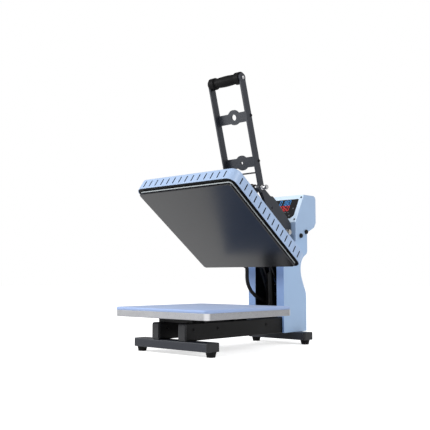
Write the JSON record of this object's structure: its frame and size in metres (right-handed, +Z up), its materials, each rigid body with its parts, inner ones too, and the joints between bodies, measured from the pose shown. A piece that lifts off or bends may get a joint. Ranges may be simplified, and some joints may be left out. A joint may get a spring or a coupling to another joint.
{
  "type": "tabletop printing press",
  "caption": "Tabletop clamshell heat press in pale blue powder coat, its heated platen swung open over a padded lower platen, with a tall handle and a tilted display box",
  "frame": {"origin": "bottom centre of the press, on the surface it stands on, halfway across its width and halfway front to back", "axes": "+Z up; +X to the operator's right; the operator stands at -Y and the column is at +Y; metres"},
  "size_m": [0.406, 0.678, 0.8698],
  "materials": {
    "rubber": "moulded rubber",
    "black_rubber": "moulded rubber grip",
    "blue_silicone": "smooth silicone sheet",
    "slate_paint": "satin powder coat",
    "black_paint": "satin powder coat",
    "charcoal_powder": "fine-textured powder coat",
    "blue_powder": "smooth powder coat",
    "black_steel": "blackened steel",
    "bright_steel": "turned steel",
    "chrome": "polished chrome",
    "bronze": "sintered bronze",
    "aluminium_plate": "milled aluminium",
    "heat_coating": "non-stick coating on aluminium, bare at the rim",
    "black_plastic": "moulded plastic",
    "pale_bezel": "smooth moulded plastic",
    "cream_plastic": "moulded plastic",
    "black_glass": "glossy black window",
    "circuit_green": "solder-masked board",
    "insulation_grey": "pressed mineral fibre",
    "cable_black": "woven sleeve over rubber"
  },
  "bodies": {
    "base": {"rubber_feet": "rubber", "front_crossbar": "slate_paint", "rear_crossbar": "slate_paint", "tube_end_plugs": "black_plastic", "rail_left": "black_paint", "rail_right": "black_paint", "platen_saddles": "black_paint", "lower_platen": "aluminium_plate", "frame_screws": "black_steel", "silicone_pad": "blue_silicone", "column_side_left": "blue_powder", "column_side_right": "blue_powder", "column_rear_cover": "blue_powder", "column_floor": "black_paint", "strut_lower_pin": "bright_steel", "pivot_pedestals": "black_paint", "main_pivot_shaft": "bright_steel", "link_shaft": "bright_steel", "control_box": "blue_powder", "display_bezel": "pale_bezel", "display_window": "black_glass", "bezel_screws": "black_steel", "circuit_board": "circuit_green", "box_fixing_screws": "black_plastic", "power_inlet": "black_plastic", "switch_frame": "black_plastic", "terminal_block": "cream_plastic"},
    "carriage": {"carriage_arm_left": "charcoal_powder", "carriage_arm_right": "charcoal_powder", "arm_brackets": "charcoal_powder", "pivot_bushes": "bronze", "carriage_bolts": "bright_steel", "pressure_beam": "charcoal_powder", "strut_upper_pin": "bright_steel"},
    "pressure_screw": {"pressure_screw": "bright_steel", "pressure_knob": "black_plastic"},
    "platen": {"heat_plate": "heat_coating", "hanger_posts": "bright_steel", "hanger_plate": "charcoal_powder", "insulation_board": "insulation_grey", "insulation_tray": "black_paint", "platen_cover": "blue_powder", "cable_gland": "black_plastic", "heater_cable": "cable_black"},
    "handle": {"handle_arm_left": "charcoal_powder", "handle_arm_right": "charcoal_powder", "handle_grip": "black_rubber", "grip_bolt": "chrome", "brace_upper": "charcoal_powder", "brace_lower": "charcoal_powder", "brace_screws": "chrome", "cross_rod": "bright_steel", "handle_pivot_shaft": "bright_steel", "handle_pivot_nuts": "chrome", "toggle_levers": "bright_steel", "toggle_pin": "bright_steel"},
    "links": {"toggle_links": "bright_steel"},
    "strut_cylinder": {"strut_cylinder": "black_paint"},
    "strut_rod": {"strut_rod": "bright_steel"},
    "power_rocker": {"power_rocker": "black_plastic"}
  },
  "joints": [
    {"name": "carriage_hinge", "type": "hinge", "parent": "base", "child": "carriage", "pos_m": [0, 0.231, 0.1675], "axis": [1, 0, 0], "range_deg": [0, 36.5], "stiffness_Nm_per_rad": 60, "springref_deg": -68.75, "deforming": ["heater_cable"]},
    {"name": "handle_pivot", "type": "hinge", "parent": "carriage", "child": "handle", "pos_m": [0, 0.0492, 0.50853], "axis": [1, 0, 0], "range_deg": [0, 33.1]},
    {"name": "link_pivot", "type": "hinge", "parent": "base", "child": "links", "pos_m": [0, 0.209, 0.196], "axis": [1, 0, 0], "range_deg": [0, 36.6]},
    {"name": "strut_tilt", "type": "hinge", "parent": "base", "child": "strut_cylinder", "pos_m": [0, 0.187, 0.064], "axis": [1, 0, 0], "range_deg": [0, 23.2]},
    {"name": "strut_slide", "type": "slide", "parent": "strut_cylinder", "child": "strut_rod", "axis": [0, -0.0413, 0.9991], "range_m": [-0.0434, 0]},
    {"name": "pressure_knob_turn", "type": "hinge", "parent": "platen", "child": "pressure_screw", "pos_m": [0, -0.02599, 0.45905], "axis": [0, 0.5948, 0.8039], "range_deg": [0, 1440]},
    {"name": "platen_slide", "type": "slide", "parent": "carriage", "child": "platen", "axis": [0, 0.5948, 0.8039], "range_m": [0, 0.00799]},
    {"name": "power_switch", "type": "hinge", "parent": "base", "child": "power_rocker", "pos_m": [0, 0.274, 0.124], "axis": [1, 0, 0], "range_deg": [0, 12]}
  ],
  "couplings": [
    {"joint": "handle_pivot", "follows": "carriage_hinge", "ratio": 0.90411},
    {"joint": "link_pivot", "follows": "carriage_hinge", "ratio": 0.99918},
    {"joint": "strut_tilt", "follows": "carriage_hinge", "ratio": 0.63288},
    {"joint": "strut_slide", "follows": "carriage_hinge", "m_per_rad": -0.068},
    {"joint": "pressure_knob_turn", "follows": "platen_slide", "rad_per_m": 3141.6}
  ]
}
